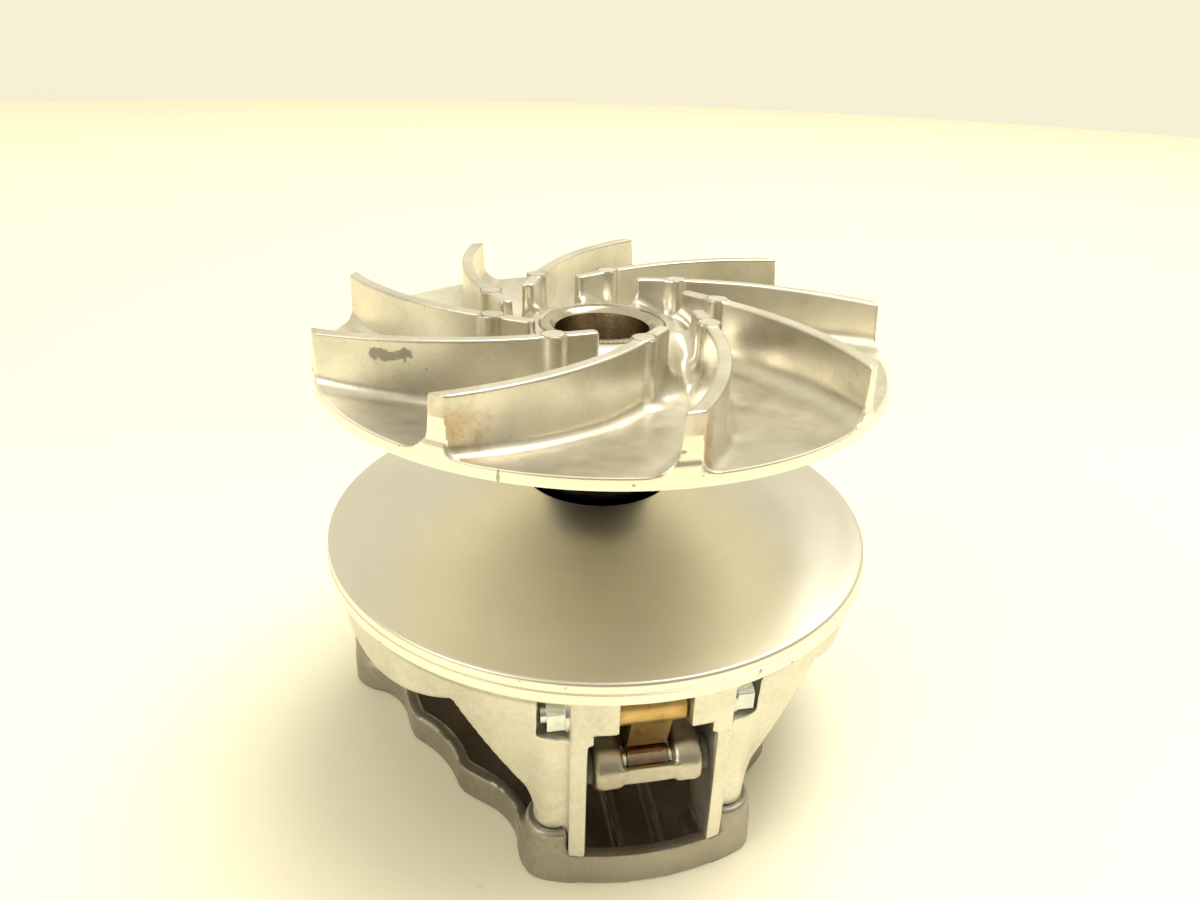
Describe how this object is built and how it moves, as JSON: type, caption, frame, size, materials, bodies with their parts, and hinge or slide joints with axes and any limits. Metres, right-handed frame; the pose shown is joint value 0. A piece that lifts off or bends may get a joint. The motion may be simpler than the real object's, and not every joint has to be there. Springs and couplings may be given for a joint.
{
  "type": "cvt drive clutch",
  "caption": "Spring-loaded centrifugal drive pulley of a belt CVT: finned fixed sheave, sliding sheave, pivoting flyweights, spider with rollers and lobed cover.",
  "frame": {"origin": "on the shaft axis, in the plane of the cover's resting face", "axes": "+Z along the shaft from the cover to the engine side; a flyweight window faces -Y"},
  "size_m": [0.2032, 0.2032, 0.1686],
  "materials": {
    "cast_aluminium": "as cast, satin",
    "cast_aluminium_fine": "fine cast, tumbled",
    "turned_aluminium": "turned belt face, cast body",
    "cover_aluminium": "cast, darkened, scuffed lobes",
    "ground_steel": "ground",
    "dark_steel": "oiled, dark",
    "black_steel": "black oxide",
    "black_plastic": "matt",
    "zinc_plate": "bright zinc plate",
    "yellow_zinc": "yellow chromate",
    "bronze": "bearing bronze",
    "spring_steel": "oiled spring steel"
  },
  "bodies": {
    "root": {"post": "ground_steel", "fixed_sheave": "cast_aluminium", "spider": "cast_aluminium_fine", "spider_nut": "dark_steel", "roller_pins": "ground_steel", "roller_washers": "ground_steel", "spider_buttons": "black_plastic", "bearing_needles": "ground_steel", "bearing_washers": "dark_steel", "bearing_snap_ring": "dark_steel"},
    "shift_assembly": {"movable_sheave": "turned_aluminium", "sheave_bushing": "bronze", "cover": "cover_aluminium", "cover_bushing": "bronze", "cover_bolts": "black_steel", "flyweight_bolts": "zinc_plate", "flyweight_nuts": "zinc_plate", "primary_spring": "spring_steel"},
    "flyweight_front": {"flyweight_front": "yellow_zinc", "flyweight_bushing_front": "bronze"},
    "roller_front": {"roller_front": "ground_steel", "roller_bushing_front": "bronze"},
    "flyweight_right": {"flyweight_right": "yellow_zinc", "flyweight_bushing_right": "bronze"},
    "roller_right": {"roller_right": "ground_steel", "roller_bushing_right": "bronze"},
    "flyweight_left": {"flyweight_left": "yellow_zinc", "flyweight_bushing_left": "bronze"},
    "roller_left": {"roller_left": "ground_steel", "roller_bushing_left": "bronze"},
    "bearing_ring": {"bearing_outer_ring": "black_steel"}
  },
  "joints": [
    {"name": "sheave_shift", "type": "slide", "parent": "root", "child": "shift_assembly", "axis": [0, 0, 1], "range_m": [0, 0.025], "stiffness_N_per_m": 12000, "springref_m": -0.015, "deforming": ["primary_spring"]},
    {"name": "flyweight_swing_front", "type": "hinge", "parent": "shift_assembly", "child": "flyweight_front", "pos_m": [0, -0.09, 0.0683], "axis": [-1, 0, 0], "range_deg": [0, 30.5]},
    {"name": "roller_spin_front", "type": "hinge", "parent": "root", "child": "roller_front", "pos_m": [0, -0.0895, 0.0435], "axis": [-1, 0, 0], "continuous": true},
    {"name": "flyweight_swing_right", "type": "hinge", "parent": "shift_assembly", "child": "flyweight_right", "pos_m": [0.07794, 0.045, 0.0683], "axis": [0.5, -0.866, 0], "range_deg": [0, 30.5]},
    {"name": "roller_spin_right", "type": "hinge", "parent": "root", "child": "roller_right", "pos_m": [0.07751, 0.04475, 0.0435], "axis": [0.5, -0.866, 0], "continuous": true},
    {"name": "flyweight_swing_left", "type": "hinge", "parent": "shift_assembly", "child": "flyweight_left", "pos_m": [-0.07794, 0.045, 0.0683], "axis": [0.5, 0.866, 0], "range_deg": [0, 30.5]},
    {"name": "roller_spin_left", "type": "hinge", "parent": "root", "child": "roller_left", "pos_m": [-0.07751, 0.04475, 0.0435], "axis": [0.5, 0.866, 0], "continuous": true},
    {"name": "bearing_overrun", "type": "hinge", "parent": "root", "child": "bearing_ring", "pos_m": [0, 0, 0.115], "axis": [0, 0, 1], "continuous": true}
  ],
  "couplings": [
    {"joint": "flyweight_swing_front", "follows": "sheave_shift", "rad_per_m": 20.944},
    {"joint": "flyweight_swing_right", "follows": "sheave_shift", "rad_per_m": 20.944},
    {"joint": "flyweight_swing_left", "follows": "sheave_shift", "rad_per_m": 20.944}
  ]
}
